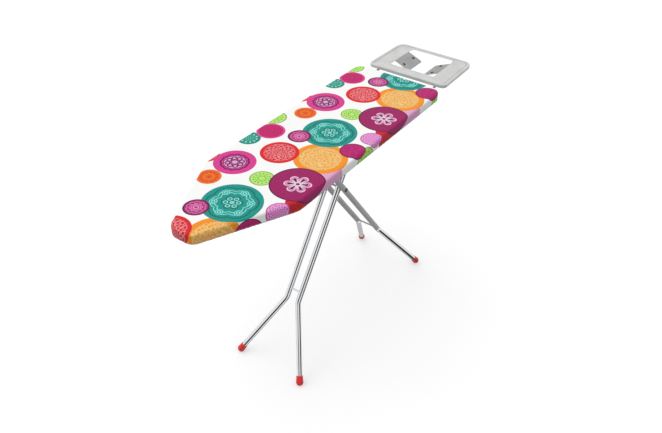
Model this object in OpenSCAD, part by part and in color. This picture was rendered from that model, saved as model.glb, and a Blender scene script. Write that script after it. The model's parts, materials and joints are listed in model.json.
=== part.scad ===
// Folding ironing board: printed cover on a tapered steel top, scissor legs
// and a steel iron rest on the rear end.
// X runs along the board with the nose at -X and the iron rest at +X,
// Y is the width and Z is up. The origin is on the floor, under the middle
// of the overall length. All sizes are in millimetres.

/* [Board] */
// Length of the padded top
board_len = 1200; // [1100:10:1250]
// Width of the padded top
board_w = 380; // [360:5:400]
// Height of the ironing surface above the floor
board_h = 897; // [890:1:905]
// Depth of the cover's skirt
skirt_h = 38; // [32:1:44]
// Thickness of the cover cloth
cover_t = 1.5; // [1:0.1:2]
// Thickness of the felt pad
felt_t = 4; // [3:0.5:5]

/* [Iron rest] */
// Gap between the top and the rest
rest_gap = 50; // [40:1:60]
// Length of the rest along the board
rest_len = 252; // [240:1:260]
// Width of the rest at its front edge
rest_w = 350; // [330:1:360]
// Width of the rest at its rear edge
rest_rear_w = 343; // [330:1:360]
// Width of the opening between the side wings
rest_open_w = 200; // [180:1:214]
// How far the iron supports drop towards the middle
flap_drop = 28; // [20:1:30]

/* [Legs] */
// Outside diameter of the leg tubes
tube_d = 22; // [20:1:22]
// Wall of the leg tubes
tube_wall = 1.2; // [1:0.1:1.5]
// Height of the crossing pin above the floor
cross_h = 631; // [620:1:640]
// Half the gap between the inner legs, centre to centre
inner_half = 26.5; // [25:0.5:26.5]
// Half the gap between the outer legs, centre to centre
outer_half = 50; // [50:0.5:51]
// Half the track of the inner feet
inner_foot_y = 146; // [130:1:150]
// Half the track of the outer feet
outer_foot_y = 148; // [130:1:150]
// Distance from the crossing pin to each leg's upper pin
arm_len = 268; // [264:1:270]
// Diameter of the rubber feet at their widest
foot_d = 29; // [27:0.5:31]

/* [Hidden] */
$fn = 48;
HULL_FN = 32;
EPS = 0.01;

// Overall length and the stations along it
overall_len = board_len + rest_gap + rest_len;
nose_x = -overall_len / 2;
tail_x = nose_x + board_len;
rest_x0 = tail_x + rest_gap;
rest_x1 = rest_x0 + rest_len;
// Outline of the top: two nose arcs, two shoulder arcs and two tail arcs
nose_r = 39;
nose_y = 17.5;
shoulder_r = 90;
shoulder_x = nose_x + 331;
tail_r = 40;
// Layers of the top, from the cloth down
felt_top = board_h - cover_t - 0.2;
panel_top = felt_top - felt_t - 0.3;
panel_t = 1.2;
panel_z = panel_top - panel_t;
hem_z = board_h - skirt_h;
hem_w = 22;
rim_t = 1.5;
rim_lip = 12;
rim_z = hem_z + cover_t + 5;
// The top panel's steam holes
vent_d = 10;
vent_pitch_x = 75;
vent_pitch_y = 60;
// Crossing pin and the scissor's other pins, in the side view
cross_x = 4;
foot_z = foot_d / 2 - 1;
inner_foot_x = -411;
outer_foot_x = 460;
P = [cross_x, cross_h];
inner_foot = [inner_foot_x, foot_z];
outer_foot = [outer_foot_x, foot_z];
inner_dir = (P - inner_foot) / norm(P - inner_foot);
outer_dir = (P - outer_foot) / norm(P - outer_foot);
A = P + arm_len * inner_dir;
S = P + arm_len * outer_dir;
inner_tilt = atan2(inner_dir[1], inner_dir[0]);
outer_tilt = atan2(outer_dir[1], -outer_dir[0]);
// The slider runs on the straight line through both upper pins
slot_tilt = (inner_tilt - outer_tilt) / 2;
half_open = (inner_tilt + outer_tilt) / 2;
fold_angle = 52;
slider_out = 2 * arm_len * cos(half_open);
slider_in = 2 * arm_len * cos(half_open - fold_angle);
// Where each leg bends outwards and carries its thin cross rod
inner_bend = 0.37;
outer_bend = 0.42;
inner_rod_at = 0.423;
outer_rod_at = 0.446;
leg_end = 12;
joint_up = 14;
plug_len = 40;
rod_d = 7;
pin_d = 8;
running = 0.06;
tube_r = tube_d / 2;
sleeve_r = 8;
washer_t = 1.2;
washer_r = 10;
// Rails, slider and bushes
rail_y = 64;
rail_t = 3;
rail_z = 828;
rail_x0 = A[0] - slider_in - 28;
rail_x1 = A[0] - slider_out + 108;
rail_flange = 14;
bar_r = 5;
bush_r = 7.2;
slot_r = 7.6;
rivet_r = 4;
// Height lever, beside the right-hand rail
lever_y = -70.9;
lever_t = 3;
lever_x = A[0] - slider_out + 78;
lever_reach = 240;
lever_depth = 11;
lever_pin_r = 3;
handle_r = 4;
handle_at = 52;
grip_r = 8;
grip_len = 52;
handle_end = 158;
// Iron rest
rest_z = board_h - 10;
sheet_t = 1.8;
lip_h = 15;
bead_w = 13;
bead_h = 1.8;
front_r = 22;
rear_r = 38;
open_x0 = rest_x0 + 46;
open_x1 = rest_x1 - 24;
open_chamfer = 14;
flap_x0 = open_x0 + 37;
flap_len = 112;
flap_in = 31;
stud_gap = 74;
stud_r = 5.5;
arm_r = 6;
arm_y = 130;
arm_z = 848;
arm_x0 = tail_x - 125;
arm_x1 = open_x0 + 130;

// Outline of the top, pulled in by t
module outline(t = 0) {
    hull()
        for (s = [-1, 1]) {
            translate([nose_x + nose_r, s * nose_y]) circle(r = nose_r - t, $fn = HULL_FN);
            translate([shoulder_x, s * (board_w / 2 - shoulder_r)])
                circle(r = shoulder_r - t, $fn = HULL_FN * 2);
            translate([tail_x - tail_r, s * (board_w / 2 - tail_r)])
                circle(r = tail_r - t, $fn = HULL_FN);
        }
}

// Outline of the iron rest, pulled in by t
module rest_outline(t = 0) {
    hull()
        for (s = [-1, 1]) {
            translate([rest_x0 + front_r, s * (rest_w / 2 - front_r)])
                circle(r = front_r - t, $fn = HULL_FN);
            translate([rest_x1 - rear_r, s * (rest_rear_w / 2 - rear_r)])
                circle(r = rear_r - t, $fn = HULL_FN);
        }
}

// A point on a leg in the side view, a share f of the way from the foot to the crossing pin
function on_leg(foot, f) = foot + (P - foot) * f;
// A side-view point placed in space, y across the board
function at_y(q, y) = [q[0], y, q[1]];
// Height of the slider's line at a given station
function slot_z(x) = A[1] + (x - A[0]) * tan(slot_tilt);

// Cylinder between two points
module rod(a, b, r) {
    d = b - a;
    translate(a)
        rotate([0, acos(d[2] / norm(d)), atan2(d[1], d[0])])
            cylinder(h = norm(d), r = r);
}

// Cylinder across the board through a side-view point
module across(q, y0, y1, r) {
    rod([q[0], y0, q[1]], [q[0], y1, q[1]], r);
}

// Round bar bent at b
module bent_rod(a, b, c, r) {
    rod(a, b, r);
    translate(b) sphere(r = r * 1.01);
    rod(b, c, r);
}

// Tube bent at b, open at both ends
module bent_tube(a, b, c, r, wall) {
    difference() {
        bent_rod(a, b, c, r);
        bent_rod(a + (a - b) * EPS, b, c + (c - b) * EPS, r - wall);
    }
}

/* --- top --- */

module cover() {
    color("white")
        difference() {
            translate([0, 0, hem_z]) linear_extrude(board_h - hem_z) outline(0);
            translate([0, 0, hem_z + cover_t])
                linear_extrude(board_h - hem_z - 2 * cover_t) outline(cover_t);
            translate([0, 0, hem_z - 1]) linear_extrude(cover_t + 2) outline(hem_w);
        }
}

module felt_pad() {
    color("gainsboro")
        translate([0, 0, felt_top - felt_t]) linear_extrude(felt_t) outline(cover_t + 0.8);
}

module top_panel() {
    color("lightgray")
        difference() {
            translate([0, 0, panel_z]) linear_extrude(panel_t) outline(cover_t + 0.8);
            for (i = [-5:5], j = [-2:2])
                translate([-160 + i * vent_pitch_x, j * vent_pitch_y, panel_z - 1])
                    cylinder(h = panel_t + 2, d = vent_d);
        }
}

module rim_frame() {
    color("gray")
        difference() {
            translate([0, 0, rim_z]) linear_extrude(panel_z - rim_z) outline(cover_t + 0.8);
            translate([0, 0, rim_z + rim_t])
                linear_extrude(panel_z - rim_z) outline(cover_t + 0.8 + rim_t);
            translate([0, 0, rim_z - 1]) linear_extrude(rim_t + 2) outline(cover_t + 0.8 + rim_lip);
        }
}

// Channel across the board under the panel
module cross_brace(x, half) {
    depth = 8;
    width = 30;
    color("gray")
        difference() {
            translate([x - width / 2, -half, panel_z - depth]) cube([width, 2 * half, depth]);
            translate([x - width / 2 + 3, -half - 1, panel_z - depth + 1.5])
                cube([width - 6, 2 * half + 2, depth]);
        }
}

module cross_brace_front() { cross_brace(nose_x + 225, 95); }
module cross_brace_rear() { cross_brace(tail_x - 175, 165); }

/* --- rails and upper hinge --- */

// Slotted side rail, for the side s = 1 or -1
module slide_rail(s) {
    x_in = A[0] - slider_in * cos(slot_tilt);
    x_out = A[0] - slider_out * cos(slot_tilt);
    color("gray")
        difference() {
            union() {
                translate([rail_x0, min(s * rail_y, s * (rail_y + rail_t)), rail_z])
                    cube([rail_x1 - rail_x0, rail_t, panel_z - rail_z]);
                translate([rail_x0, min(s * (rail_y + rail_t), s * (rail_y + rail_t + rail_flange)),
                    panel_z - 2])
                    cube([rail_x1 - rail_x0, rail_flange, 2]);
            }
            for (x = [x_in, x_out])
                across([x, slot_z(x)], s * (rail_y - 1), s * (rail_y + rail_t + 1), slot_r);
            translate([x_in, s * (rail_y + rail_t / 2), slot_z(x_in)]) rotate([0, -slot_tilt, 0])
                translate([0, -rail_t, -slot_r]) cube([slider_in - slider_out, 2 * rail_t, 2 * slot_r]);
            if (s < 0)
                across([lever_x, lever_hinge_z()], -rail_y + 1, -rail_y - rail_t - 1, lever_pin_r + running);
        }
}

function lever_hinge_z() = slot_z(lever_x) + bar_r + 1 + lever_depth / 2;

module slide_rail_left() { slide_rail(1); }
module slide_rail_right() { slide_rail(-1); }

// Rivet heads that hold the rails to the panel
module rail_rivets() {
    color("silver")
        for (s = [-1, 1], x = [rail_x0 + 30, (rail_x0 + rail_x1) / 2, rail_x1 - 20])
            translate([x, s * (rail_y + rail_t + rail_flange / 2), panel_z - 4.2])
                cylinder(h = 2.2, r1 = rivet_r * 0.6, r2 = rivet_r);
}

// Ear that carries one end of the upper hinge pin
module hinge_bracket(s) {
    ear_r = 10;
    ear_t = 3;
    y0 = 39.5;
    color("gray")
        difference() {
            union() {
                translate([A[0] - ear_r, min(s * y0, s * (y0 + ear_t)), A[1]])
                    cube([2 * ear_r, ear_t, panel_z - A[1]]);
                across(A, s * y0, s * (y0 + ear_t), ear_r);
                translate([A[0] - 20, min(s * y0, s * (y0 + 20)), panel_z - 2]) cube([40, 20, 2]);
            }
            across(A, s * (y0 - 1), s * (y0 + ear_t + 1), pin_d / 2 + running);
        }
}

module hinge_bracket_left() { hinge_bracket(1); }
module hinge_bracket_right() { hinge_bracket(-1); }

module hinge_pin() {
    color("silver") {
        across(A, -45, 45, pin_d / 2);
        for (s = [-1, 1]) across(A, s * 43, s * 46, 7);
    }
}

/* --- height lever --- */

// Notched latch bar with a handle that reaches to the board's edge
module height_lever() {
    handle_x = lever_x - lever_reach + handle_at;
    color("gray")
        difference() {
            union() {
                across([lever_x, lever_hinge_z()], lever_y, lever_y - lever_t, 9);
                translate([lever_x, lever_y - lever_t, lever_hinge_z()]) rotate([0, -slot_tilt, 0])
                    translate([-lever_reach, 0, -lever_depth / 2])
                        cube([lever_reach, lever_t, lever_depth]);
                across([handle_x, slot_z(handle_x) + bar_r + 1 + lever_depth / 2],
                    lever_y - 1, -handle_end + 4, handle_r);
            }
            across([lever_x, lever_hinge_z()], lever_y + 1, lever_y - lever_t - 1, lever_pin_r + running);
            for (i = [0:4])
                across([lever_x - 70 - i * 36, slot_z(lever_x - 70 - i * 36) + bar_r - 1.5],
                    lever_y + 1, lever_y - lever_t - 1, bar_r);
        }
}

module lever_grip() {
    handle_x = lever_x - lever_reach + handle_at;
    q = [handle_x, slot_z(handle_x) + bar_r + 1 + lever_depth / 2];
    color("dimgray")
        difference() {
            union() {
                across(q, -handle_end, -handle_end + grip_len, grip_r);
                translate(at_y(q, -handle_end)) sphere(r = grip_r);
            }
            across(q, -handle_end + 4, -handle_end + grip_len + 1, handle_r + 0.05);
        }
}

module lever_pin() {
    q = [lever_x, lever_hinge_z()];
    color("silver") {
        across(q, -rail_y + 2, lever_y - lever_t - 2.5, lever_pin_r);
        across(q, -rail_y + 0.2, -rail_y + 3, 6);
        across(q, lever_y - lever_t - 1.2, lever_y - lever_t - 3.5, 6);
    }
}

// Torsion spring on the lever's pin
module lever_spring() {
    color("silver")
        for (i = [0:3])
            translate(at_y([lever_x, lever_hinge_z()], -rail_y - rail_t - 0.7 - i * 0.85))
                rotate([90, 0, 0]) rotate_extrude() translate([5, 0]) circle(r = 0.4, $fn = 24);
}

/* --- iron rest --- */

module rest_opening() {
    w = rest_open_w / 2;
    polygon([[open_x0, -w - 4], [open_x1 - open_chamfer, -w], [open_x1, -w + open_chamfer * 0.55],
        [open_x1, w - open_chamfer * 0.55], [open_x1 - open_chamfer, w], [open_x0, w + 4]]);
}

// Pressed sheet with a raised border and a turned-down lip
module rest_plate() {
    color("lightgray")
        difference() {
            translate([0, 0, rest_z - lip_h]) linear_extrude(lip_h) rest_outline(0);
            translate([0, 0, rest_z - lip_h - 1])
                linear_extrude(lip_h + 1 - sheet_t - bead_h) rest_outline(sheet_t);
            translate([0, 0, rest_z - bead_h]) linear_extrude(bead_h + 1) rest_outline(bead_w);
            translate([0, 0, rest_z - lip_h - 1]) linear_extrude(lip_h + 2) rest_opening();
        }
}

// Sloping support for the iron's sole, bent down from the side wing
module rest_flap(s) {
    top = rest_z - bead_h;
    y_out = rest_open_w / 2 - 0.3;
    color("gray")
        translate([flap_x0, 0, 0]) rotate([90, 0, 90])
            linear_extrude(flap_len)
                polygon([[s * y_out, top], [s * flap_in, top - flap_drop],
                    [s * (flap_in + 1), top - flap_drop - sheet_t], [s * y_out, top - sheet_t - 0.3]]);
}

module rest_flap_left() { rest_flap(1); }
module rest_flap_right() { rest_flap(-1); }

// Heat-proof studs, two on each flap
module rest_studs() {
    top = rest_z - bead_h;
    y_out = rest_open_w / 2 - 0.3;
    y_mid = (y_out + flap_in) / 2;
    slope = atan2(flap_drop, y_out - flap_in);
    color("black")
        for (s = [-1, 1], k = [-1, 1])
            translate([flap_x0 + flap_len / 2 + k * stud_gap / 2, s * y_mid, top - flap_drop / 2])
                rotate([s * slope, 0, 0])
                    rotate_extrude() polygon([[0, 0], [stud_r, 0], [stud_r, 1.6], [stud_r - 1.6, 3.2],
                        [0, 3.2]]);
}

// Rod that carries the rest from under the board, for the side s
module rest_arm(s) {
    a = [arm_x0, s * arm_y, arm_z];
    b = [tail_x - 8, s * arm_y, arm_z];
    c = [rest_x0 + 46, s * arm_y, rest_z - sheet_t - bead_h - arm_r - 0.1];
    d = [arm_x1, s * arm_y, rest_z - sheet_t - bead_h - arm_r - 0.1];
    color("silver") {
        bent_rod(a, b, c, arm_r);
        translate(c) sphere(r = arm_r * 1.01);
        rod(c, d, arm_r);
    }
}

module rest_arm_left() { rest_arm(1); }
module rest_arm_right() { rest_arm(-1); }

// Saddles that hang the rest's rods from the panel
module rest_clamps() {
    color("gray")
        for (s = [-1, 1], x = [arm_x0 + 20, tail_x - 35])
            difference() {
                translate([x - 9, s * arm_y - 10, arm_z - 9]) cube([18, 20, panel_z - arm_z + 9]);
                rod([x - 10, s * arm_y, arm_z], [x + 10, s * arm_y, arm_z], arm_r + 0.05);
                translate([x, s * arm_y, arm_z - 10]) cylinder(h = 12, r = 2.05);
            }
}

// Screws that lock the rods in their saddles
module clamp_screws() {
    color("silver")
        for (s = [-1, 1], x = [arm_x0 + 20, tail_x - 35])
            translate([x, s * arm_y, arm_z - 9]) {
                cylinder(h = 9 - arm_r - 0.1, r = 2);
                translate([0, 0, -2.5]) cylinder(h = 2.5, r1 = 3, r2 = 4);
            }
}

/* --- inner legs --- */

// Inner leg for the side s: straight from the hinge to the bend, then splayed to its foot
module front_leg(s) {
    top = at_y(A + leg_end * inner_dir, s * inner_half);
    bend = at_y(on_leg(inner_foot, inner_bend), s * inner_half);
    foot = at_y(inner_foot, s * inner_foot_y);
    color("silver")
        difference() {
            bent_tube(top, bend, foot, tube_r, tube_wall);
            for (q = [A, P])
                across(q, s * (inner_half - tube_d), s * (inner_half + tube_d), pin_d / 2 + running);
        }
}

module front_leg_left() { front_leg(1); }
module front_leg_right() { front_leg(-1); }

module front_cross_rod() {
    q = on_leg(inner_foot, inner_rod_at);
    color("silver")
        difference() {
            across(q, -inner_half, inner_half, rod_d / 2);
            for (s = [-1, 1])
                rod(at_y(on_leg(inner_foot, 0.3), s * inner_half), at_y(on_leg(inner_foot, 0.6),
                    s * inner_half), tube_r + 0.02);
        }
}

// Spacer between the inner legs on the upper hinge pin
module front_sleeve() {
    color("silver")
        difference() {
            across(A, -inner_half, inner_half, sleeve_r);
            across(A, -inner_half - 1, inner_half + 1, pin_d / 2 + running);
            for (s = [-1, 1])
                rod(at_y(P, s * inner_half), at_y(A + 2 * leg_end * inner_dir, s * inner_half),
                    tube_r + 0.02);
        }
}

// Cap on the end of a leg: a round foot with a long narrower collar, flat where it stands
module foot_cap(foot, bend) {
    d = bend - foot;
    collar_len = 24;
    color("red")
        difference() {
            translate(foot) rotate([0, acos(d[2] / norm(d)), atan2(d[1], d[0])])
                rotate_extrude()
                    difference() {
                        union() {
                            intersection() {
                                circle(d = foot_d);
                                translate([0, -foot_d]) square([foot_d, 2 * foot_d]);
                            }
                            polygon([[0, 0], [foot_d / 2 - 0.4, 3], [tube_r + 1.6, collar_len],
                                [0, collar_len]]);
                        }
                        square([tube_r + 0.05, collar_len + 1]);
                    }
            translate([foot[0] - foot_d, foot[1] - foot_d, -foot_d])
                cube([2 * foot_d, 2 * foot_d, foot_d]);
        }
}

module front_foot_left() { front_foot(1); }
module front_foot_right() { front_foot(-1); }
module front_foot(s) {
    foot_cap(at_y(inner_foot, s * inner_foot_y), at_y(on_leg(inner_foot, inner_bend), s * inner_half));
}

/* --- outer legs --- */

// Corners of an outer leg on the side s: slider end, joint of its two parts, bend and foot
function outer_points(s) = [at_y(S + leg_end * outer_dir, s * outer_half),
    at_y(on_leg(outer_foot, outer_bend) + outer_dir * joint_up, s * outer_half),
    at_y(on_leg(outer_foot, outer_bend), s * outer_half), at_y(outer_foot, s * outer_foot_y)];

// Painted upper part of an outer leg, from the slider to the bend
module rear_leg_upper(s) {
    q = outer_points(s);
    color("darkgray")
        difference() {
            rod(q[0], q[1], tube_r);
            rod(q[0] + (q[0] - q[1]) * EPS, q[1] - (q[0] - q[1]) * EPS, tube_r - tube_wall);
            across(S, s * (outer_half - tube_d), s * (outer_half + tube_d), bar_r + 0.05);
            across(P, s * (outer_half - tube_d), s * (outer_half + tube_d), pin_d / 2 + 0.05);
        }
}

// Plated lower part of an outer leg: a plug that fits the upper part, the bend and the shank
module rear_leg_lower(s) {
    q = outer_points(s);
    plug = q[1] + at_y(outer_dir * plug_len, 0);
    color("silver")
        difference() {
            union() {
                bent_rod(q[1], q[2], q[3], tube_r);
                rod(q[2], plug, tube_r - tube_wall - 0.05);
            }
            rod(plug + (plug - q[2]) * EPS, q[2], tube_r - 2 * tube_wall);
            rod(q[2], q[3] + (q[3] - q[2]) * EPS, tube_r - tube_wall);
        }
}

module rear_leg_upper_left() { rear_leg_upper(1); }
module rear_leg_upper_right() { rear_leg_upper(-1); }
module rear_leg_lower_left() { rear_leg_lower(1); }
module rear_leg_lower_right() { rear_leg_lower(-1); }

module rear_cross_rod() {
    q = on_leg(outer_foot, outer_rod_at);
    color("silver")
        difference() {
            across(q, -outer_half, outer_half, rod_d / 2);
            for (s = [-1, 1])
                rod(at_y(on_leg(outer_foot, 0.3), s * outer_half), at_y(on_leg(outer_foot, 0.6),
                    s * outer_half), tube_r + 0.02);
        }
}

module rear_foot_left() { rear_foot(1); }
module rear_foot_right() { rear_foot(-1); }
module rear_foot(s) {
    foot_cap(at_y(outer_foot, s * outer_foot_y), at_y(on_leg(outer_foot, outer_bend), s * outer_half));
}

// Bar through the outer legs that slides in the rails
module slider_bar() {
    color("silver") across(S, -83, 75, bar_r);
}

module slider_nuts() {
    color("silver") {
        nut(-77, -82);
        nut(69.5, 74.5);
    }
}

module nut(y0, y1) {
    difference() {
        across(S, y0, y1, 8);
        across(S, y0 - 10, y0 + 10, bar_r + 0.05);
    }
}

// Plastic bush that runs in a rail's slot
module slider_bush(s) {
    color("ivory")
        difference() {
            union() {
                across(S, s * 61.3, s * 63.7, 10);
                across(S, s * 63, s * (rail_y + rail_t + 1), bush_r);
            }
            across(S, s * 60, s * 70, bar_r + 0.05);
        }
}

module slider_bush_left() { slider_bush(1); }
module slider_bush_right() { slider_bush(-1); }

/* --- crossing pin --- */

module pivot_pin() {
    color("silver") across(P, -outer_half - tube_r - 1, outer_half + tube_r + 1, pin_d / 2);
}

// Low domed caps over the pin's ends, which pass between the rails when the legs fold
module pivot_caps() {
    cap_r = 8;
    cap_h = 5.7;
    color("black")
        for (s = [-1, 1])
            difference() {
                translate(at_y(P, s * (outer_half + tube_r - 3))) rotate([-s * 90, 0, 0])
                    rotate_extrude() polygon([[0, 0], [cap_r, 0], [cap_r, cap_h - 1.4],
                        [cap_r - 2.2, cap_h - 0.4], [0, cap_h]]);
                rod(at_y(S, s * outer_half), at_y(on_leg(outer_foot, 0.6), s * outer_half), tube_r + 0.03);
                across(P, s * outer_half, s * (outer_half + tube_r + 1.2), pin_d / 2 + 0.05);
            }
}

module pivot_washers() {
    color("silver")
        for (s = [-1, 1])
            difference() {
                across(P, s * (inner_half + tube_r + 0.15),
                    s * (inner_half + tube_r + 0.15 + washer_t), washer_r);
                across(P, s * inner_half, s * outer_half, pin_d / 2 + running);
            }
}

cover();
felt_pad();
top_panel();
rim_frame();
cross_brace_front();
cross_brace_rear();
slide_rail_left();
slide_rail_right();
rail_rivets();
hinge_bracket_left();
hinge_bracket_right();
hinge_pin();
height_lever();
lever_grip();
lever_pin();
lever_spring();
rest_plate();
rest_flap_left();
rest_flap_right();
rest_studs();
rest_arm_left();
rest_arm_right();
rest_clamps();
clamp_screws();
front_leg_left();
front_leg_right();
front_cross_rod();
front_sleeve();
front_foot_left();
front_foot_right();
rear_leg_upper_left();
rear_leg_upper_right();
rear_leg_lower_left();
rear_leg_lower_right();
rear_cross_rod();
rear_foot_left();
rear_foot_right();
slider_bar();
slider_nuts();
slider_bush_left();
slider_bush_right();
pivot_pin();
pivot_caps();
pivot_washers();
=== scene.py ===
# %% [markdown]
# # A folding ironing board
# This lesson dresses a finished mechanical model of an ironing board. The model brings every steel part,
# hinge and foot at its real size. What is left is the part that people notice: a printed cotton cover,
# chromed tubes with soft bends, a pressed iron rest and glossy plastic feet.
# All lengths are metres. X runs along the board with the nose at -X, Y is across and Z is up.

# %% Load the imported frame
import json
import math
import bmesh
import bpy
from mathutils import Matrix, Vector
from mathutils.kdtree import KDTree


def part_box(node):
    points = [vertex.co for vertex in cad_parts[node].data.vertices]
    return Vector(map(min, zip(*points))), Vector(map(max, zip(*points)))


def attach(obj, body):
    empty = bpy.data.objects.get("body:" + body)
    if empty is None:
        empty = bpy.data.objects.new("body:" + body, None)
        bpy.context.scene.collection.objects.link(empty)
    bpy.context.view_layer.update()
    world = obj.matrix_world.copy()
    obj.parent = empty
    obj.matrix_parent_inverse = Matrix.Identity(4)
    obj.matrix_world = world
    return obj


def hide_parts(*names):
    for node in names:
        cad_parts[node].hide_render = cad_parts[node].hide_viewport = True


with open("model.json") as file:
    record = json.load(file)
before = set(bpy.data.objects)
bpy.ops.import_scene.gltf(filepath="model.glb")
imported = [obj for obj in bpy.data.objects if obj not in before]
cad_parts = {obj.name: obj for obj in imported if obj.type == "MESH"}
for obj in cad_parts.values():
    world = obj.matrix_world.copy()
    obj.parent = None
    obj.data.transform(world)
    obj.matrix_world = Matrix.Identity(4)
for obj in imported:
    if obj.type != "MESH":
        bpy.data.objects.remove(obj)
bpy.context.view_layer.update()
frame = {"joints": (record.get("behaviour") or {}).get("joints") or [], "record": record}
MM = 0.001

# %% [markdown]
# ## The camera
# The board is seen from the nose end, from a little above a standing person's eyes, with a normal lens.
# A camera could be aimed with a constraint, but a matrix built from its three axes is exact, keeps the
# slight roll of a camera held by hand and can be read: right, up and back.

# %% Camera
CAMERA_PLACE = Vector((-1.776, -1.244, 2.143))
CAMERA_AZIMUTH = math.radians(-54.89)
CAMERA_ELEVATION = math.radians(37.43)
CAMERA_ROLL = math.radians(0.5)
CAMERA_LENS = 38.46


def camera_axes(azimuth, elevation, roll):
    """Right, up and back of a camera that looks down at the origin's side."""
    back = Vector((
        math.sin(azimuth) * math.cos(elevation),
        -math.cos(azimuth) * math.cos(elevation),
        math.sin(elevation),
    ))
    right = Vector((0, 0, 1)).cross(back).normalized()
    up = back.cross(right)
    turned_right = right * math.cos(roll) + up * math.sin(roll)
    turned_up = up * math.cos(roll) - right * math.sin(roll)
    return turned_right, turned_up, back


axes = Matrix(camera_axes(CAMERA_AZIMUTH, CAMERA_ELEVATION, CAMERA_ROLL)).transposed()
camera_data = bpy.data.cameras.new("camera")
camera_data.lens = CAMERA_LENS
camera = bpy.data.objects.new("camera", camera_data)
camera.matrix_world = Matrix.Translation(CAMERA_PLACE) @ axes.to_4x4()
bpy.context.scene.collection.objects.link(camera)
bpy.context.scene.camera = camera
print("camera at", tuple(round(c, 3) for c in CAMERA_PLACE))

# %% [markdown]
# ## The sizes that everything follows
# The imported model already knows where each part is, so nothing is typed twice. Boxes of nodes give the
# ends and widths, mounts give the feet and joints give the pins. Only what a box can't tell, such as the
# radius of an arc, is named here.

# %% Read the sizes from the frame
joints = {j["name"]: Vector(j["pos_m"]) for j in frame["joints"]}
mounts = {m["name"]: Vector(m["pos_m"]) for m in frame["record"]["mounts"]}
HINGE = joints["legs_fold"]
CROSSING = joints["rear_legs_fold"]
TOP_LOW, TOP_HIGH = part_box("cover")
REST_LOW, REST_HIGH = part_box("rest_plate")
TUBE_R = 11 * MM
FOOT_R = 14.5 * MM
print("padded top:", round(TOP_HIGH[0] - TOP_LOW[0], 3), "by", round(TOP_HIGH[1] - TOP_LOW[1], 3))

# %% [markdown]
# ## Small helpers for modelling by operators
# Operators act on whatever is selected, and the loaded model starts out selected. So each piece begins
# with nothing selected, is shaped in edit mode, and ends with its place written into its mesh: the object
# itself stays at the origin, unturned, as every node of the model does.

# %% Helpers: start, shape and finish a piece
SMOOTH_ANGLE = math.radians(35)


def deselect_all():
    """Leaves nothing selected, in object mode."""
    if bpy.context.mode != "OBJECT":
        bpy.ops.object.mode_set(mode="OBJECT")
    bpy.ops.object.select_all(action="DESELECT")


def only(piece):
    """Makes piece the one selected and active object."""
    deselect_all()
    piece.select_set(True)
    bpy.context.view_layer.objects.active = piece


def start_ring(name, centre, direction, radius, count):
    """Adds a ring of points square to direction and goes into edit mode with it selected."""
    deselect_all()
    turn = Vector(direction).to_track_quat("Z", "Y").to_euler()
    bpy.ops.mesh.primitive_circle_add(
        vertices=count, radius=radius, fill_type="NGON", location=centre, rotation=turn
    )
    piece = bpy.context.object
    piece.name = name
    bpy.ops.object.transform_apply(location=True, rotation=True, scale=True)
    bpy.ops.object.mode_set(mode="EDIT")
    bpy.ops.mesh.select_all(action="SELECT")
    return piece


def push(vector):
    """Extrudes the selected part along vector."""
    bpy.ops.mesh.extrude_region_move(TRANSFORM_OT_translate={"value": tuple(vector)})


def grow(factor, centre):
    """Scales the selected part about centre."""
    bpy.ops.transform.resize(value=(factor, factor, factor), center_override=tuple(centre))


def use_modifier(piece, kind, **values):
    """Adds a modifier with those values and applies it."""
    only(piece)
    modifier = piece.modifiers.new(kind.lower(), kind)
    for key, value in values.items():
        setattr(modifier, key, value)
    bpy.ops.object.modifier_apply(modifier=modifier.name)


def finish_piece(piece, body, material, replaced=()):
    """Turns its normals outward, smooths it, gives it its material and hands it to its body."""
    only(piece)
    bpy.ops.object.mode_set(mode="EDIT")
    bpy.ops.mesh.select_all(action="SELECT")
    bpy.ops.mesh.normals_make_consistent(inside=False)
    bpy.ops.object.mode_set(mode="OBJECT")
    bpy.ops.object.shade_smooth_by_angle(angle=SMOOTH_ANGLE)
    piece.data.materials.clear()
    piece.data.materials.append(material)
    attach(piece, body)
    if replaced:
        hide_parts(*replaced)
    deselect_all()
    return piece


print("helpers ready")

# %% [markdown]
# ## Arithmetic with sockets
# A printed motif is a small formula: how far is this point from the motif's middle, and at what angle? In
# the node editor that would be dozens of Math nodes placed by hand. A field is a socket that does
# arithmetic, so that a formula in the script becomes the same Math nodes.

# %% Fields: sockets that can be added, multiplied and compared
class Field:
    """A number that varies over the surface: a socket of one material's node tree."""

    def __init__(self, tree, socket):
        self.tree = tree
        self.socket = socket

    def do(self, operation, *others):
        node = self.tree.nodes.new("ShaderNodeMath")
        node.operation = operation
        self.tree.links.new(self.socket, node.inputs[0])
        for place, other in enumerate(others, start=1):
            if isinstance(other, Field):
                self.tree.links.new(other.socket, node.inputs[place])
            else:
                node.inputs[place].default_value = other
        return Field(self.tree, node.outputs[0])

    def __add__(self, other):
        return self.do("ADD", other)

    def __sub__(self, other):
        return self.do("SUBTRACT", other)

    def __mul__(self, other):
        return self.do("MULTIPLY", other)

    def __truediv__(self, other):
        return self.do("DIVIDE", other)

    def __neg__(self):
        return self.do("MULTIPLY", -1.0)

    def size(self):
        return self.do("ABSOLUTE")

    def cosine(self):
        return self.do("COSINE")

    def sine(self):
        return self.do("SINE")

    def most(self, other):
        return self.do("MAXIMUM", other)

    def below(self, edge, soft):
        """1 where the field is under edge, fading to 0 over soft."""
        fade = (-(self - edge)) / soft + 0.5
        fade.socket.node.use_clamp = True
        return fade

    def line(self, at, half_width, soft):
        """1 on a line where the field equals at."""
        return (self - at).size().below(half_width, soft)


def linear(r, g, b):
    """A colour given as a paint chart gives it, 0 to 255, as the linear colour that a shader takes."""
    return tuple(
        (c / 255 / 12.92 if c <= 10 else ((c / 255 + 0.055) / 1.055) ** 2.4) for c in (r, g, b)
    ) + (1.0,)


print("fields ready")

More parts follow.
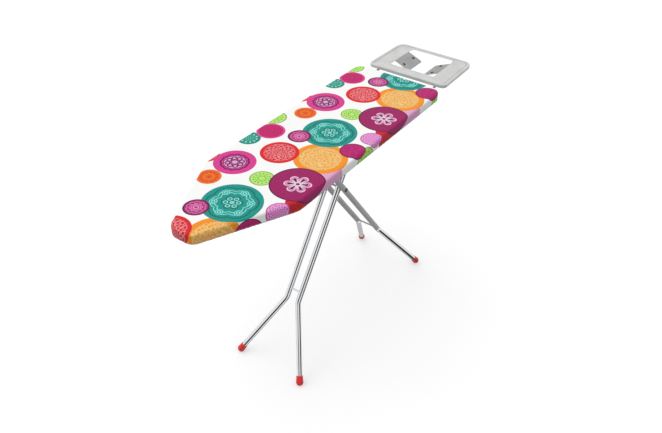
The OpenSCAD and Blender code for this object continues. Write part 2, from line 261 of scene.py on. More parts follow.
# %% [markdown]
# ## A workshop for materials
# Every finish starts from a Principled shader with a colour, a roughness and a fine surface. The bench
# holds the node tree and the few things that all finishes need: object coordinates, noise, mixing of
# colours and a bump. Values that are the same all over are set on the shader's own sockets.

# %% Material bench
class Bench:
    """One material under construction."""

    def __init__(self, name, roughness=0.5, metallic=0.0, **shader_values):
        self.material = bpy.data.materials.new(name)
        self.material.use_nodes = True
        self.tree = self.material.node_tree
        self.shader = self.tree.nodes["Principled BSDF"]
        self.shader.inputs["Roughness"].default_value = roughness
        self.shader.inputs["Metallic"].default_value = metallic
        for key, value in shader_values.items():
            self.shader.inputs[key.replace("_", " ")].default_value = value

    def new(self, kind, **values):
        node = self.tree.nodes.new(kind)
        for key, value in values.items():
            setattr(node, key, value)
        return node

    def join(self, a, b):
        self.tree.links.new(a, b)

    def place(self):
        """Object coordinates, which are the model's own metres."""
        return self.new("ShaderNodeTexCoord").outputs["Object"]

    def stretched(self, vector, scale):
        node = self.new("ShaderNodeMapping")
        node.inputs["Scale"].default_value = scale
        self.join(vector, node.inputs["Vector"])
        return node.outputs["Vector"]

    def noise(self, vector, scale, detail=2.0, roughness=0.5):
        node = self.new("ShaderNodeTexNoise")
        node.inputs["Scale"].default_value = scale
        node.inputs["Detail"].default_value = detail
        node.inputs["Roughness"].default_value = roughness
        self.join(vector, node.inputs["Vector"])
        return Field(self.tree, node.outputs["Fac"])

    def cells(self, vector, scale, feature="F1"):
        node = self.new("ShaderNodeTexVoronoi", feature=feature)
        node.inputs["Scale"].default_value = scale
        self.join(vector, node.inputs["Vector"])
        return Field(self.tree, node.outputs["Distance"])

    def ranged(self, field, low, high, new_low, new_high):
        node = self.new("ShaderNodeMapRange")
        for key, value in zip(("From Min", "From Max", "To Min", "To Max"), (low, high, new_low, new_high)):
            node.inputs[key].default_value = value
        self.join(field.socket, node.inputs["Value"])
        return Field(self.tree, node.outputs["Result"])

    def mix(self, share, under, over):
        """The colour under, covered by the colour over where share is 1."""
        node = self.new("ShaderNodeMix", data_type="RGBA")
        self.join(share.socket, node.inputs["Factor"])
        for socket, colour in ((node.inputs[6], under), (node.inputs[7], over)):
            if isinstance(colour, tuple):
                socket.default_value = colour
            else:
                self.join(colour, socket)
        return node.outputs[2]

    def colour(self, socket):
        self.join(socket, self.shader.inputs["Base Color"])

    def rough(self, field):
        self.join(field.socket, self.shader.inputs["Roughness"])

    def bump(self, field, strength, distance):
        node = self.new("ShaderNodeBump")
        node.inputs["Strength"].default_value = strength
        node.inputs["Distance"].default_value = distance
        self.join(field.socket, node.inputs["Height"])
        self.join(node.outputs["Normal"], self.shader.inputs["Normal"])


print("bench ready")

# %% [markdown]
# ## Metal finishes
# Chrome plate is a mirror with a faint haze, so its look comes from what it reflects; a trace of fine
# polishing lines keeps it from looking like glass. Powder coat is the opposite: a dull, slightly pebbled
# paint. Zinc plate lies between them and shows cloudy patches.

# %% Chrome, zinc and powder coats
def chrome_plate():
    bench = Bench("chrome_plate", roughness=0.09, metallic=1.0)
    fine = bench.noise(bench.stretched(bench.place(), (60, 60, 60)), 9.0, detail=3.0)
    cloud = bench.noise(bench.place(), 14.0)
    bench.colour(bench.mix(cloud, linear(212, 214, 217), linear(236, 237, 239)))
    bench.rough(bench.ranged(fine, 0.3, 0.7, 0.06, 0.14))
    bench.bump(fine, 0.03, 0.05 * MM)
    return bench.material


def zinc_plate():
    bench = Bench("zinc_plate", roughness=0.42, metallic=1.0)
    patches = bench.cells(bench.place(), 160.0)
    cloud = bench.noise(bench.place(), 30.0, detail=4.0)
    bench.colour(bench.mix(cloud, linear(150, 152, 156), linear(196, 198, 200)))
    bench.rough(bench.ranged(patches, 0.0, 0.8, 0.34, 0.52))
    bench.bump(cloud, 0.08, 0.2 * MM)
    return bench.material


def powder_coat(name, dark, light, roughness, shaded_groove=False):
    """Satin paint baked from powder: a fine orange-peel surface and a little dust in the colour.
    A grooved coat has its pressed groove drawn as a darker grey line: painted shade for the shadow in the
    groove."""
    bench = Bench(name, roughness=roughness, metallic=0.1)
    peel = bench.noise(bench.place(), 900.0, detail=2.0)
    dust = bench.noise(bench.place(), 24.0, detail=5.0)
    colour = bench.mix(bench.ranged(dust, 0.35, 0.65, 0.0, 1.0), dark, light)
    if shaded_groove:
        parts = bench.new("ShaderNodeSeparateXYZ")
        bench.join(bench.new("ShaderNodeUVMap", uv_map="seams").outputs["UV"], parts.inputs[0])
        # Painted shade: along the pressed groove the colour is mixed towards dark grey.
        groove_shade = Field(bench.tree, parts.outputs[1]).line(2.6 * MM, 1.6 * MM, 1.2 * MM) * 0.6
        colour = bench.mix(groove_shade, colour, linear(118, 118, 118))
    bench.colour(colour)
    bench.rough(bench.ranged(dust, 0.3, 0.7, roughness - 0.05, roughness + 0.06))
    bench.bump(peel, 0.12, 0.15 * MM)
    return bench.material


CHROME = chrome_plate()
ZINC = zinc_plate()
LEG_PAINT = powder_coat("leg_powder_coat", linear(180, 181, 182), linear(190, 191, 192), 0.5)
REST_PAINT = powder_coat("rest_powder_coat", linear(206, 206, 205), linear(217, 217, 216), 0.34, shaded_groove=True)
# The flaps are the same sheet and paint as the rest. Their darker grey is painted shade for their slope away
# from the light.
FLAP_SHADED_PAINT = powder_coat("flap_powder_coat", linear(156, 156, 156), linear(170, 170, 170), 0.5)
PANEL_PAINT = powder_coat("panel_powder_coat", linear(176, 178, 180), linear(192, 194, 196), 0.45)
print("metals:", CHROME.name, ZINC.name, LEG_PAINT.name)

# %% [markdown]
# ## Plastics, rubber and felt
# Moulded plastic is a smooth gloss with a colour that is the same right through. Its wear shows as fine
# dulling, spread evenly over the surface. Felt is a mat of short fibres.

# %% Plastics, rubber and felt
def moulded(name, dark, light, roughness):
    bench = Bench(name, roughness=roughness, Coat_Weight=0.25, Coat_Roughness=0.15)
    swirl = bench.noise(bench.place(), 70.0, detail=3.0)
    scuff = bench.noise(bench.place(), 420.0, detail=4.0)
    bench.colour(bench.mix(swirl, dark, light))
    bench.rough(bench.ranged(scuff, 0.35, 0.7, roughness - 0.06, roughness + 0.12))
    bench.bump(scuff, 0.05, 0.1 * MM)
    return bench.material


def felted():
    bench = Bench("felted_fibre", roughness=0.95, Sheen_Weight=0.3)
    fibre = bench.noise(bench.stretched(bench.place(), (1, 1.6, 1)), 700.0, detail=5.0, roughness=0.7)
    bench.colour(bench.mix(fibre, linear(196, 196, 192), linear(226, 226, 222)))
    bench.bump(fibre, 0.5, 0.6 * MM)
    return bench.material


FRONT_FOOT_RED = moulded("front_foot_red", linear(214, 26, 32), linear(236, 44, 46), 0.32)
REAR_FOOT_RED = moulded("rear_foot_red", linear(196, 30, 26), linear(218, 48, 40), 0.34)
BLACK_CAP = moulded("black_cap", linear(16, 16, 17), linear(30, 30, 32), 0.35)
STUD_RUBBER = moulded("stud_rubber", linear(20, 20, 20), linear(34, 34, 34), 0.6)
GRIP_PLASTIC = moulded("grip_plastic", linear(38, 38, 40), linear(54, 54, 56), 0.5)
BUSH_NYLON = moulded("bush_nylon", linear(222, 218, 206), linear(238, 235, 226), 0.4)
FELT = felted()
print("plastics and felt ready")

# %% [markdown]
# ## The printed cotton
# The cover is white cotton, printed with discs of many sizes. The drawing repeats every half metre along
# the board. Each disc has its own little design: scalloped flowers, rings of dots, lace or scribble. An
# image could hold the drawing, but formulas stay sharp at any distance and need no file. The cloth has a
# UV map in metres, laid out flat, so that the print runs over the edge and down the skirt as one cloth.
# A second map runs round the edge and down the skirt, and carries the line of stitches above the hem.

# %% Print: coordinates and the ways to draw in a disc
REPEAT = 0.5
SOFT = 0.7 * MM
WHITE = linear(250, 250, 249)


class Disc:
    """A round motif: its middle and radius on the cloth, and polar coordinates inside it."""

    def __init__(self, bench, across, along, x, y, radius):
        half = REPEAT / 2
        self.bench = bench
        self.radius = radius
        self.dx = (along - x).do("WRAP", half, -half)
        self.dy = across - y
        self.reach = (self.dx * self.dx + self.dy * self.dy).do("SQRT")
        self.r = self.reach / radius
        self.angle = self.dy.do("ARCTAN2", self.dx)
        self.soft = SOFT / radius

    def inside(self, share=1.0):
        return self.r.below(share, self.soft)

    def ring(self, at, half_width):
        return self.r.line(at, half_width, self.soft)

    def petals(self, count, inner, outer, phase=0.0):
        """A radius that swells from inner to outer count times round the disc, as scallops do."""
        wave = (self.angle * (count / 2) + phase).cosine().size().do("POWER", 0.55)
        return wave * (outer - inner) + inner

    def petal_line(self, count, inner, outer, half_width, phase=0.0):
        return (self.r - self.petals(count, inner, outer, phase)).size().below(half_width, self.soft)

    def scribble(self, scale, width):
        """A net of crooked lines, like a pen that never leaves the cloth."""
        cloth = self.bench.new("ShaderNodeCombineXYZ")
        self.bench.join(self.dx.socket, cloth.inputs[0])
        self.bench.join(self.dy.socket, cloth.inputs[1])
        net = self.bench.cells(cloth.outputs[0], scale, feature="DISTANCE_TO_EDGE")
        return net.below(width, width)

    def satellites(self, count, at, phase=0.0):
        """Distance to the nearest of count points spread round the disc at a share of its radius."""
        step = 2 * math.pi / count
        turned = (self.angle + phase).do("WRAP", step / 2, -step / 2)
        sx = self.r * turned.cosine() - at
        sy = self.r * turned.sine()
        return (sx * sx + sy * sy).do("SQRT")

    def specks(self, rings, spokes, threshold):
        """Rows of dots on rings: where the crossing of two waves is high."""
        wave = (self.r * (rings * 2 * math.pi)).cosine() * (self.angle * spokes).cosine()
        return (-wave).below(-threshold, 0.35)


print("the print repeats every", REPEAT, "m")

# %% [markdown]
# ## The designs in the discs
# Each design takes the colour of the cloth so far and returns it with one more disc drawn over it. They
# go from the widest shapes to the thinnest lines, as a printer lays down screens.

# %% Designs
def teal_flower(b, disc, under, grain):
    """Scalloped flower in pale aqua lines on a dark wavy field."""
    teal = b.mix(grain, linear(6, 138, 124), linear(12, 156, 146))
    dark = b.mix(grain, linear(2, 86, 88), linear(10, 122, 112))
    aqua = linear(142, 228, 218)
    colour = b.mix(disc.inside(), under, teal)
    colour = b.mix(disc.petal_line(6, 0.72, 0.84, 0.028), colour, dark)
    colour = b.mix(disc.petal_line(6, 0.56, 0.68, 0.016), colour, aqua)
    colour = b.mix(disc.petal_line(6, 0.44, 0.56, 0.018), colour, aqua)
    outer = disc.satellites(6, 0.6)
    colour = b.mix(outer.below(0.13, disc.soft), colour, teal)
    colour = b.mix(outer.line(0.12, 0.014, disc.soft), colour, aqua)
    colour = b.mix(outer.line(0.055, 0.02, disc.soft), colour, aqua)
    colour = b.mix((disc.r - disc.petals(6, 0.22, 0.36)).below(0.0, disc.soft), colour, dark)
    inner = disc.satellites(6, 0.21)
    colour = b.mix(inner.below(0.085, disc.soft), colour, teal)
    colour = b.mix(inner.line(0.07, 0.018, disc.soft), colour, aqua)
    colour = b.mix(disc.ring(0.06, 0.02), colour, aqua)
    return b.mix(disc.inside(0.03), colour, aqua)


def plum_flower(b, disc, under, grain):
    """Six white petals with dark hearts on deep magenta."""
    colour = b.mix(disc.inside(), under, linear(88, 12, 62))
    ground = b.mix(grain, linear(130, 8, 76), linear(176, 24, 108))
    colour = b.mix(disc.inside(0.95), colour, ground)
    shape = disc.petals(6, 0.26, 0.5, 0.2)
    rose = linear(206, 92, 160)
    colour = b.mix((disc.r - shape).below(0.0, disc.soft), colour, linear(238, 204, 226))
    colour = b.mix((disc.r - shape * 0.84).size().below(0.026, disc.soft), colour, rose)
    spoke = (disc.angle * 3.0 + 0.2).cosine().size()
    seed = (disc.r - 0.25).size().below(0.11, 0.05) * (-spoke).below(-0.86, 0.12)
    colour = b.mix(seed, colour, linear(58, 6, 44))
    colour = b.mix(disc.petal_line(6, 0.1, 0.36, 0.014, 0.2), colour, linear(150, 30, 104))
    return b.mix(disc.inside(0.07), colour, linear(150, 14, 80))


def orange_scribble(b, disc, under, grain):
    """Pale rings scribbled over a ripe orange."""
    colour = b.mix(disc.inside(), under, b.mix(grain, linear(240, 138, 18), linear(248, 152, 34)))
    colour = b.mix(disc.inside(0.78), colour, linear(236, 152, 44))
    rings = (disc.r * 34.0 + (disc.angle * 7.0).sine() * 1.4).sine().below(-0.35, 0.6)
    colour = b.mix(rings * disc.inside(0.76), colour, linear(234, 184, 100))
    return b.mix(disc.scribble(110.0, 0.07) * disc.inside(0.78), colour, linear(240, 206, 138))


def red_lace(b, disc, under, grain):
    """Pale lace with dark red holes inside a red rim."""
    colour = b.mix(disc.inside(), under, b.mix(grain, linear(206, 18, 28), linear(228, 34, 44)))
    colour = b.mix(disc.inside(0.84), colour, linear(222, 40, 52))
    colour = b.mix(disc.scribble(170.0, 0.1) * disc.inside(0.8), colour, linear(246, 150, 154))
    return b.mix(disc.specks(3.6, 12.0, 0.45) * disc.inside(0.8), colour, linear(160, 12, 36))


def pink_rosette(b, disc, under, grain):
    """A rosette of purple rings on pale pink, inside a hot pink disc."""
    plum = linear(112, 14, 84)
    colour = b.mix(disc.inside(), under, b.mix(grain, linear(208, 44, 132), linear(222, 66, 150)))
    colour = b.mix(disc.petal_line(12, 0.6, 0.66, 0.045), colour, plum)
    colour = b.mix(disc.inside(0.53), colour, linear(226, 162, 210))
    colour = b.mix(disc.ring(0.52, 0.02), colour, plum)
    petals = disc.satellites(8, 0.33)
    colour = b.mix(petals.line(0.11, 0.035, disc.soft), colour, plum)
    return b.mix(disc.ring(0.16, 0.025), colour, plum)


def magenta_scallops(b, disc, under, grain):
    """Three rounds of dark scalloped lines."""
    colour = b.mix(disc.inside(), under, linear(222, 66, 148))
    inner = b.mix(grain, linear(188, 12, 94), linear(212, 28, 116))
    colour = b.mix(disc.inside(0.86), colour, inner)
    colour = b.mix(disc.petal_line(9, 0.62, 0.72, 0.025), colour, linear(158, 8, 84))
    colour = b.mix(disc.petal_line(9, 0.4, 0.52, 0.025, 0.6), colour, linear(158, 8, 84))
    return b.mix(disc.petal_line(6, 0.14, 0.3, 0.035), colour, linear(158, 8, 84))


def small_plum(b, disc, under, grain):
    """Pink lace inside a dark outline."""
    colour = b.mix(disc.inside(), under, linear(96, 12, 70))
    colour = b.mix(disc.inside(0.86), colour, b.mix(grain, linear(158, 28, 102), linear(190, 54, 132)))
    colour = b.mix(disc.petal_line(10, 0.6, 0.74, 0.035), colour, linear(216, 120, 172))
    colour = b.mix(disc.satellites(8, 0.4).line(0.1, 0.03, disc.soft), colour, linear(236, 140, 196))
    return b.mix(disc.ring(0.18, 0.04), colour, linear(240, 160, 206))


def small_magenta(b, disc, under, grain):
    """Dark scribble and violet blots inside a dark outline."""
    colour = b.mix(disc.inside(), under, linear(100, 8, 60))
    colour = b.mix(disc.inside(0.9), colour, b.mix(grain, linear(186, 14, 104), linear(212, 30, 124)))
    colour = b.mix(disc.scribble(120.0, 0.06) * disc.inside(0.84), colour, linear(150, 10, 88))
    return b.mix(disc.satellites(5, 0.45).below(0.1, 0.12), colour, linear(136, 28, 128))


def tangerine(b, disc, under, grain):
    """Rings of darker dots on orange red."""
    colour = b.mix(disc.inside(), under, b.mix(grain, linear(228, 110, 26), linear(238, 126, 36)))
    colour = b.mix(disc.inside(0.84), colour, linear(228, 92, 10))
    colour = b.mix(disc.satellites(12, 0.66).below(0.075, 0.05), colour, linear(216, 66, 8))
    colour = b.mix(disc.petal_line(8, 0.26, 0.42, 0.03), colour, linear(242, 146, 58))
    return b.mix(disc.inside(0.12), colour, linear(216, 66, 8))


def lime_dots(b, disc, under, grain):
    """Pale lime with green dots and a darker rim."""
    colour = b.mix(disc.inside(), under, linear(142, 180, 92))
    colour = b.mix(disc.inside(0.88), colour, b.mix(grain, linear(172, 226, 98), linear(196, 240, 128)))
    colour = b.mix(disc.satellites(13, 0.66).below(0.07, 0.05), colour, linear(84, 158, 52))
    colour = b.mix(disc.ring(0.48, 0.02), colour, linear(104, 176, 60))
    return b.mix(disc.petal_line(7, 0.2, 0.34, 0.04), colour, linear(96, 170, 56))


def lilac_dots(b, disc, under, grain):
    """Lilac with rows of violet dots and a plum rim."""
    colour = b.mix(disc.inside(), under, linear(182, 84, 152))
    colour = b.mix(disc.inside(0.9), colour, b.mix(grain, linear(232, 146, 210), linear(240, 166, 222)))
    return b.mix(disc.specks(4.5, 9.0, 0.35) * disc.inside(0.82), colour, linear(170, 70, 160))


def small_teal(b, disc, under, grain):
    """Teal ringed with pale seeds."""
    colour = b.mix(disc.inside(), under, linear(16, 140, 122))
    colour = b.mix(disc.satellites(11, 0.66).below(0.08, 0.05), colour, linear(190, 244, 226))
    return b.mix(disc.specks(4.0, 7.0, 0.4) * disc.inside(0.5), colour, linear(120, 222, 196))


def plain_lilac(b, disc, under, grain):
    """A soft lilac disc with nothing drawn in it."""
    return b.mix(disc.inside(), under, b.mix(grain, linear(220, 158, 200), linear(230, 172, 212)))


def plain_red(b, disc, under, grain):
    """A dark red disc with nothing drawn in it."""
    return b.mix(disc.inside(), under, b.mix(grain, linear(188, 18, 30), linear(206, 30, 40)))


print("fourteen designs")

# %% [markdown]
# ## Where the discs sit
# The layout lists each disc of one repeat: its design, how far its middle is behind the nose, how far it
# is from the centre line, and its radius, all in millimetres. Places keep to a grid of 10 mm, which is
# easy to read and to shift by eye. Later discs lie over earlier ones, and the outermost ones mostly show
# on the skirt.

# %% Layout of one repeat
LAYOUT = [
    (lime_dots, 170, -230, 50),
    (plain_red, 320, -210, 65),
    (plain_lilac, 470, -210, 65),
    (lime_dots, 160, 190, 45),
    (red_lace, 340, 210, 40),
    (small_teal, 0, 170, 40),
    (plum_flower, 80, 260, 60),
    (orange_scribble, 230, 260, 60),
    (pink_rosette, 430, 260, 60),
    (magenta_scallops, 80, 140, 50),
    (tangerine, 250, 120, 40),
    (pink_rosette, 360, 110, 70),
    (lime_dots, 340, -20, 40),
    (orange_scribble, 40, -100, 90),
    (teal_flower, 190, -30, 95),
    (red_lace, 490, 30, 65),
    (small_plum, 110, 40, 40),
    (plum_flower, 380, -130, 90),
    (lilac_dots, 240, -170, 40),
    (small_magenta, 140, -160, 45),
]


HEM_SEAM = 41 * MM


def printed_cotton():
    """White cotton with a fine plain weave, the repeated print and the stitched line of the hem, with painted
    shade in the seam's dip.
    """
    bench = Bench("printed_cotton", roughness=0.86, Sheen_Weight=0.12, Sheen_Roughness=0.4)
    cloth = bench.new("ShaderNodeUVMap", uv_map="print").outputs["UV"]
    parts = bench.new("ShaderNodeSeparateXYZ")
    bench.join(cloth, parts.inputs[0])
    along = Field(bench.tree, parts.outputs[0])
    across = Field(bench.tree, parts.outputs[1])
    grain = bench.ranged(bench.noise(cloth, 230.0, detail=3.0), 0.38, 0.62, 0.0, 1.0)
    slub = bench.noise(bench.stretched(cloth, (1.0, 12.0, 1.0)), 60.0, detail=3.0)
    colour = bench.mix(slub, linear(246, 246, 245), WHITE)
    for design, x, y, radius in LAYOUT:
        disc = Disc(bench, across, along, x * MM, y * MM, radius * MM)
        colour = design(bench, disc, colour, grain)
    thread = 2 * math.pi / (0.9 * MM)
    weave = (along * thread).sine() * (across * thread).sine()
    seams = bench.new("ShaderNodeSeparateXYZ")
    bench.join(bench.new("ShaderNodeUVMap", uv_map="seams").outputs["UV"], seams.inputs[0])
    around, down = (Field(bench.tree, socket) for socket in seams.outputs[:2])
    dashes = (around * (2 * math.pi / (3.6 * MM))).sine().below(0.35, 0.4)
    stitches = down.line(HEM_SEAM, 0.35 * MM, 0.3 * MM) * dashes
    seam_dip_and_shade = down.line(HEM_SEAM, 0.9 * MM, 1.2 * MM)
    bench.bump(weave + slub * 2.0 + stitches * 7.0 - seam_dip_and_shade * 5.0, 0.25, 0.12 * MM)
    # Painted shade: the sunk seam line also darkens the colour a little, as if its dip were in shadow.
    colour = bench.mix(seam_dip_and_shade * 0.18, colour, linear(120, 116, 118))
    bench.colour(bench.mix(stitches, colour, linear(240, 238, 236)))
    return bench.material


PRINTED_COTTON = printed_cotton()
print("discs in one repeat:", len(LAYOUT), "nodes:", len(PRINTED_COTTON.node_tree.nodes))

# %% [markdown]
# ## The outline of the board
# Seen from above, the board is six arcs joined by straight lines: two small ones at the nose, two wide ones
# at the shoulders and two at the tail. An outline made this way can be pulled in by any amount just by
# making the arcs smaller, which gives parallel rings for the edge, the skirt and the hem.

# %% Outlines made of arcs
def arc_outline(arcs, spacing):
    """Points round a shape with their outward directions. Each arc is (x, y, radius), anticlockwise."""
    tangents = []
    for (x0, y0, r0), (x1, y1, r1) in zip(arcs, arcs[1:] + arcs[:1]):
        gap = Vector((x1 - x0, y1 - y0))
        lean = math.asin((r1 - r0) / gap.length)
        tangents.append(math.atan2(gap.y, gap.x) - math.pi / 2 - lean)
    points = []
    for i, (x, y, radius) in enumerate(arcs):
        start = tangents[i - 1]
        sweep = (tangents[i] - start) % (2 * math.pi)
        steps = max(4, round(radius * sweep / spacing))
        for k in range(steps + 1):
            turn = start + sweep * k / steps
            out = Vector((math.cos(turn), math.sin(turn)))
            points.append((Vector((x, y)) + out * radius, out))
        here = points[-1]
        x1, y1, r1 = arcs[(i + 1) % len(arcs)]
        there = Vector((x1, y1)) + here[1] * r1
        count = max(1, round((there - here[0]).length / spacing))
        for k in range(1, count):
            points.append((here[0].lerp(there, k / count), here[1]))
    return points


NOSE_X, TAIL_X = TOP_LOW[0], TOP_HIGH[0]
HALF_W = TOP_HIGH[1]
NOSE_R, NOSE_Y = 39 * MM, 17.5 * MM
SHOULDER_R, SHOULDER_X = 90 * MM, TOP_LOW[0] + 331 * MM
TAIL_R = 40 * MM
BOARD_ARCS = [
    (TAIL_X - TAIL_R, HALF_W - TAIL_R, TAIL_R),
    (SHOULDER_X, HALF_W - SHOULDER_R, SHOULDER_R),
    (NOSE_X + NOSE_R, NOSE_Y, NOSE_R),
    (NOSE_X + NOSE_R, -NOSE_Y, NOSE_R),
    (SHOULDER_X, -HALF_W + SHOULDER_R, SHOULDER_R),
    (TAIL_X - TAIL_R, -HALF_W + TAIL_R, TAIL_R),
]
board_outline = arc_outline(BOARD_ARCS, 3.2 * MM)
print("outline points:", len(board_outline))

# %% [markdown]
# ## Sheets swept round an outline
# The cover, the felt and the pressed rest are all made the same way: a flat face with that outline, whose
# edge is extruded again and again. Each new ring of points is placed by how far it is pulled in from the
# outline and how high it is. The rings together are the section that a saw would show. Every point also
# remembers where it left the flat, so the cloth can be unrolled for its print.

# %% Sweep a section round an outline
class SweptSheet:
    """A flat face with rings extruded round its edge."""

    def __init__(self, name, outline, inset, height, cut=None):
        self.piece = start_ring(name, (0, 0, height), (0, 0, 1), 0.3, len(outline))
        mesh = bmesh.from_edit_mesh(self.piece.data)
        for vertex, (base, out) in zip(mesh.verts, outline):
            flat = base - out * inset
            vertex.co = (flat.x, flat.y, height)
        bmesh.update_edit_mesh(self.piece.data)
        if cut:
            self.slice(cut)
        self.remember(outline, inset)
        self.last = (inset, height)
        self.length = 0.0

    def slice(self, pitch):
        """Bisects the face along and across, so that it can be shaped between its edges."""
        mesh = bmesh.from_edit_mesh(self.piece.data)
        for axis in (0, 1):
            low = min(v.co[axis] for v in mesh.verts)
            high = max(v.co[axis] for v in mesh.verts)
            count = round((high - low) / pitch)
            for k in range(1, count):
                normal = Vector((0, 0, 0))
                normal[axis] = 1
                bpy.ops.mesh.select_all(action="SELECT")
                place = tuple(normal * (low + (high - low) * k / count))
                bpy.ops.mesh.bisect(plane_co=place, plane_no=tuple(normal))
            mesh = bmesh.from_edit_mesh(self.piece.data)

    def remember(self, outline, inset):
        """Stores at each edge point its flat place, outward direction and distance round the edge."""
        tree = KDTree(len(outline))
        for i, (base, out) in enumerate(outline):
            tree.insert((base - out * inset).to_3d(), i)
        tree.balance()
        travelled = [0.0]
        for (a, _), (b, _) in zip(outline, outline[1:] + outline[:1]):
            travelled.append(travelled[-1] + (b - a).length)
        self.perimeter = travelled[-1]
        mesh = bmesh.from_edit_mesh(self.piece.data)
        layers = mesh.verts.layers
        layers.float_vector.new("flat")
        layers.float_vector.new("outward")
        layers.float.new("round")
        layers.float.new("wrap")
        flat, outward = layers.float_vector["flat"], layers.float_vector["outward"]
        around = layers.float["round"]
        count = len(outline)
        bpy.ops.mesh.select_mode(type="EDGE")
        bpy.ops.mesh.select_all(action="DESELECT")
        for edge in mesh.edges:
            edge.select = edge.is_boundary
        for vertex in mesh.verts:
            here = vertex.co.to_2d()
            vertex[flat] = (here.x, here.y, 0)
            near = tree.find((here.x, here.y, 0))[1]
            best = None
            for i in (near - 1, near):
                (a, out_a), (b, out_b) = outline[i], outline[(i + 1) % count]
                side = (b - out_b * inset) - (a - out_a * inset)
                share = max(0.0, min(1.0, (here - (a - out_a * inset)).dot(side) / side.length_squared))
                gap = (a - out_a * inset + side * share - here).length
                if best is None or gap < best[0]:
                    best = (gap, out_a.lerp(out_b, share).normalized(), travelled[i % count]
                            + (travelled[i % count + 1] - travelled[i % count]) * share)
            vertex[outward] = (best[1].x, best[1].y, 0)
            vertex[around] = best[2]
        self.first_inset = inset
        mesh.select_flush_mode()
        bmesh.update_edit_mesh(self.piece.data)

    def ring(self, inset, height, ripple=None):
        """Extrudes the edge to a new ring. A ripple may move each point by its distance round the edge."""
        bpy.ops.mesh.select_mode(type="EDGE")
        push((0, 0, 0))
        mesh = bmesh.from_edit_mesh(self.piece.data)
        flat = mesh.verts.layers.float_vector["flat"]
        outward = mesh.verts.layers.float_vector["outward"]
        around, wrap = mesh.verts.layers.float["round"], mesh.verts.layers.float["wrap"]
        self.length += math.dist((inset, height), self.last)
        self.last = (inset, height)
        for vertex in mesh.verts:
            if vertex.select:
                pull, lift = ripple(vertex[around]) if ripple else (0.0, 0.0)
                place = vertex[flat] + vertex[outward] * (self.first_inset - inset - pull)
                vertex.co = (place.x, place.y, height + lift)
                vertex[wrap] = self.length
        bmesh.update_edit_mesh(self.piece.data)

    def unroll(self):
        """Gives the cloth its two maps: laid out flat for the print, and along and down for the seams."""
        mesh = bmesh.from_edit_mesh(self.piece.data)
        flat = mesh.verts.layers.float_vector["flat"]
        outward = mesh.verts.layers.float_vector["outward"]
        around, wrap = mesh.verts.layers.float["round"], mesh.verts.layers.float["wrap"]
        laid = mesh.loops.layers.uv.new("print")
        seams = mesh.loops.layers.uv.new("seams")
        for face in mesh.faces:
            furthest = max(loop.vert[around] for loop in face.loops)
            for loop in face.loops:
                v = loop.vert
                out = v[flat] + v[outward] * v[wrap]
                loop[laid].uv = (out.x - NOSE_X, out.y)
                turn = self.perimeter if furthest - v[around] > self.perimeter / 2 else 0.0
                loop[seams].uv = (v[around] + turn, v[wrap])
        bmesh.update_edit_mesh(self.piece.data)


print("sweeping ready")

# %% [markdown]
# ## The cover
# The cover is cotton that is pulled tight over the felt and gathered underneath by a drawcord in its hem.
# On the top it is smooth. It turns over the edge with a soft radius, hangs straight down the skirt, and
# starts to pucker where the hem gathers it under the board. The puckers are a sum of waves with drifting
# lengths, so that no two are alike and every run gives the same ones.

# %% Cover
TOP_Z = TOP_HIGH[2]
WRAP_FROM = 12 * MM
CLOTH_T = 0.9 * MM


def pucker(amount):
    """How far a gathered edge is pulled in and lifted, by the distance round the board."""

    def ripple(s):
        slow = math.sin(2 * math.pi * s / 0.163) + math.sin(2 * math.pi * s / 0.097 + 1.3)
        wave = math.sin(2 * math.pi * s / 0.0172 + 2.2 * slow)
        fine = math.sin(2 * math.pi * s / 0.0117 + 1.7 * slow + 0.8)
        fold = 0.5 + 0.3 * wave + 0.2 * fine
        return amount * 0.35 * fold, amount * fold

    return ripple


sheet = SweptSheet("printed_cover", board_outline, WRAP_FROM, TOP_Z, cut=24 * MM)
for inset, drop, gathered in (
    (9.0, 0.12, 0.0), (6.5, 0.5, 0.0), (4.5, 1.15, 0.0), (2.9, 2.2, 0.0), (1.7, 3.6, 0.0),
    (0.8, 5.4, 0.0), (0.3, 7.6, 0.0), (0.1, 10.5, 0.0), (0.1, 16.0, 0.0), (0.1, 22.0, 0.1),
    (0.1, 27.5, 0.25), (0.15, 31.0, 0.45), (0.3, 33.6, 0.7), (0.7, 35.6, 0.9), (1.5, 36.9, 1.0),
    (2.8, 37.6, 1.2), (5.0, 37.9, 1.6), (8.0, 37.9, 2.0), (11.5, 37.9, 2.3), (15.0, 37.9, 2.6),
    (18.5, 37.9, 2.8), (22.0, 37.6, 3.0),
):
    sheet.ring(inset * MM, TOP_Z - drop * MM, pucker(gathered * MM))
sheet.unroll()
cover = sheet.piece
bpy.ops.mesh.select_all(action="SELECT")
bpy.ops.mesh.normals_make_consistent(inside=False)
use_modifier(cover, "SOLIDIFY", thickness=CLOTH_T, offset=-1.0)
finish_piece(cover, "board", PRINTED_COTTON, ["cover"])
print("cover triangles:", sum(len(p.vertices) - 2 for p in cover.data.polygons))


def outline_area(outline, grow_by):
    """Area inside an outline that has been let out all round."""
    points = [base + out * grow_by for base, out in outline]
    pairs = zip(points, points[1:] + points[:1])
    return abs(sum(a.x * b.y - b.x * a.y for a, b in pairs)) / 2


margin = sheet.length - WRAP_FROM
cut_area = outline_area(board_outline, margin)

# %% [markdown]
# ## The felt
# Under the cotton lies a mat of felt. It is only glimpsed from below, but it gives the edge its soft
# radius, so it gets rounded edges of its own and the fuzz of its material. It is a closed pad: a flat top,
# a rounded edge and a flat bottom.

